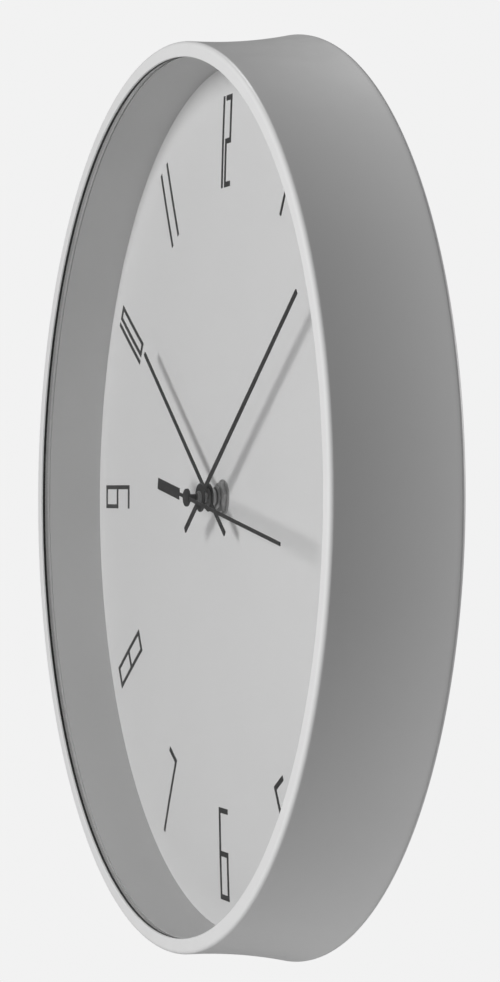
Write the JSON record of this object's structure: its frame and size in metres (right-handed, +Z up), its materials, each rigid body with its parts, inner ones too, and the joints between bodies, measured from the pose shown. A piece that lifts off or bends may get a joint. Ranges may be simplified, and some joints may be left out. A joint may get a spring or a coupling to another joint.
{
  "type": "wall clock",
  "caption": "Round quartz wall clock with a deep flared case, recessed domed dial, straight-stroke numerals, three bar hands and a keyhole hanger.",
  "frame": {"origin": "Centre of the hanger plate's entry hole, on the plane of the wall (the plate's faces are 1 and 2 mm in front of that plane). The hand axis is 105 mm below it.", "axes": "+Y into the wall, so the dial faces -Y; +Z up; +X to the right as the dial is read."},
  "size_m": [0.3086, 0.041, 0.3086],
  "materials": {
    "case_satin": "satin light grey-white paint on moulded plastic",
    "ring_satin": "satin light grey",
    "dial_satin": "fine matte white-grey lacquer on sheet aluminium",
    "numeral_ink": "matte near-black printed ink",
    "hand_black": "matte near-black paint",
    "lens_glass": "clear flat mineral glass",
    "seal_rubber": "matte black",
    "back_plastic": "fine moulded texture, light grey",
    "screw_steel": "zinc plated",
    "plate_steel": "zinc plated sheet",
    "plated_brass": "nickel plated brass, turned",
    "plated_nut": "nickel plated, turned, dulled",
    "movement_plastic": "fine black moulding",
    "knob_plastic": "black, fluted",
    "battery_jacket": "printed jacket without text",
    "contact_steel": "nickel plated spring steel",
    "board_laminate": "green solder mask",
    "chip_resin": "black resin",
    "crystal_can": "drawn metal can",
    "wheel_plastic": "natural acetal",
    "copper_wire": "enamelled copper",
    "motor_iron": "stamped soft iron",
    "magnet_ferrite": "sintered, ground",
    "arbor_steel": "drawn wire"
  },
  "bodies": {
    "case": {"case_shell": "case_satin", "lens_seal": "seal_rubber", "lens": "lens_glass", "inner_ring": "ring_satin", "dial_plate": "dial_satin", "dial_numerals": "numeral_ink", "rear_cover": "back_plastic", "cover_screws": "screw_steel", "hanger_plate": "plate_steel", "hanger_screws": "screw_steel", "threaded_bush": "plated_brass", "hex_nut": "plated_nut", "brass_washer": "plated_nut", "rubber_washer": "seal_rubber", "movement_base": "movement_plastic", "movement_cover": "movement_plastic", "battery": "battery_jacket", "positive_contact": "contact_steel", "negative_contact": "contact_steel", "circuit_board": "board_laminate", "controller_chip": "chip_resin", "quartz_crystal": "crystal_can", "coil_bobbin": "wheel_plastic", "coil_winding": "copper_wire", "coil_core": "motor_iron", "coil_leads": "copper_wire", "stator": "motor_iron", "stator_screws": "screw_steel"},
    "seconds": {"second_hand": "hand_black", "second_hand_hub": "hand_black", "second_arbor": "arbor_steel", "second_wheel": "wheel_plastic"},
    "minutes": {"minute_hand": "hand_black", "minute_hand_bush": "plated_nut", "cannon_pinion": "plated_brass", "friction_spring": "contact_steel", "centre_wheel": "plated_brass"},
    "hours": {"hour_hand": "hand_black", "hour_hand_bush": "plated_nut", "hour_wheel": "plated_brass"},
    "third": {"third_wheel": "wheel_plastic"},
    "step": {"step_wheel": "wheel_plastic"},
    "rotor": {"rotor_magnet": "magnet_ferrite", "rotor_pinion": "wheel_plastic"},
    "motion": {"minute_wheel": "wheel_plastic"},
    "setting": {"setting_shaft": "wheel_plastic", "setting_knob": "knob_plastic"}
  },
  "joints": [
    {"name": "minute_hand_turn", "type": "hinge", "parent": "case", "child": "minutes", "pos_m": [0, -0.0276, -0.105], "axis": [0, 1, 0], "continuous": true},
    {"name": "hour_hand_turn", "type": "hinge", "parent": "case", "child": "hours", "pos_m": [0, -0.0247, -0.105], "axis": [0, 1, 0], "continuous": true},
    {"name": "second_hand_turn", "type": "hinge", "parent": "case", "child": "seconds", "pos_m": [0, -0.0324, -0.105], "axis": [0, 1, 0], "continuous": true},
    {"name": "third_wheel_turn", "type": "hinge", "parent": "case", "child": "third", "pos_m": [-0.00736, -0.0101, -0.10075], "axis": [0, 1, 0], "continuous": true},
    {"name": "step_wheel_turn", "type": "hinge", "parent": "case", "child": "step", "pos_m": [0.00438, -0.0061, -0.09742], "axis": [0, 1, 0], "continuous": true},
    {"name": "rotor_turn", "type": "hinge", "parent": "case", "child": "rotor", "pos_m": [0.01001, -0.0093, -0.09537], "axis": [0, 1, 0], "continuous": true},
    {"name": "minute_wheel_turn", "type": "hinge", "parent": "case", "child": "motion", "pos_m": [0.00789, -0.0145, -0.10787], "axis": [0, 1, 0], "continuous": true},
    {"name": "setting_knob_turn", "type": "hinge", "parent": "case", "child": "setting", "pos_m": [0.01629, -0.0015, -0.10787], "axis": [0, 1, 0], "continuous": true}
  ],
  "couplings": [
    {"joint": "hour_hand_turn", "follows": "minute_hand_turn", "ratio": 0.083333},
    {"joint": "second_hand_turn", "follows": "minute_hand_turn", "ratio": 60},
    {"joint": "third_wheel_turn", "follows": "minute_hand_turn", "ratio": -8},
    {"joint": "step_wheel_turn", "follows": "minute_hand_turn", "ratio": -360},
    {"joint": "rotor_turn", "follows": "minute_hand_turn", "ratio": 1800},
    {"joint": "minute_wheel_turn", "follows": "minute_hand_turn", "ratio": -0.33333},
    {"joint": "setting_knob_turn", "follows": "minute_hand_turn", "ratio": 1}
  ]
}
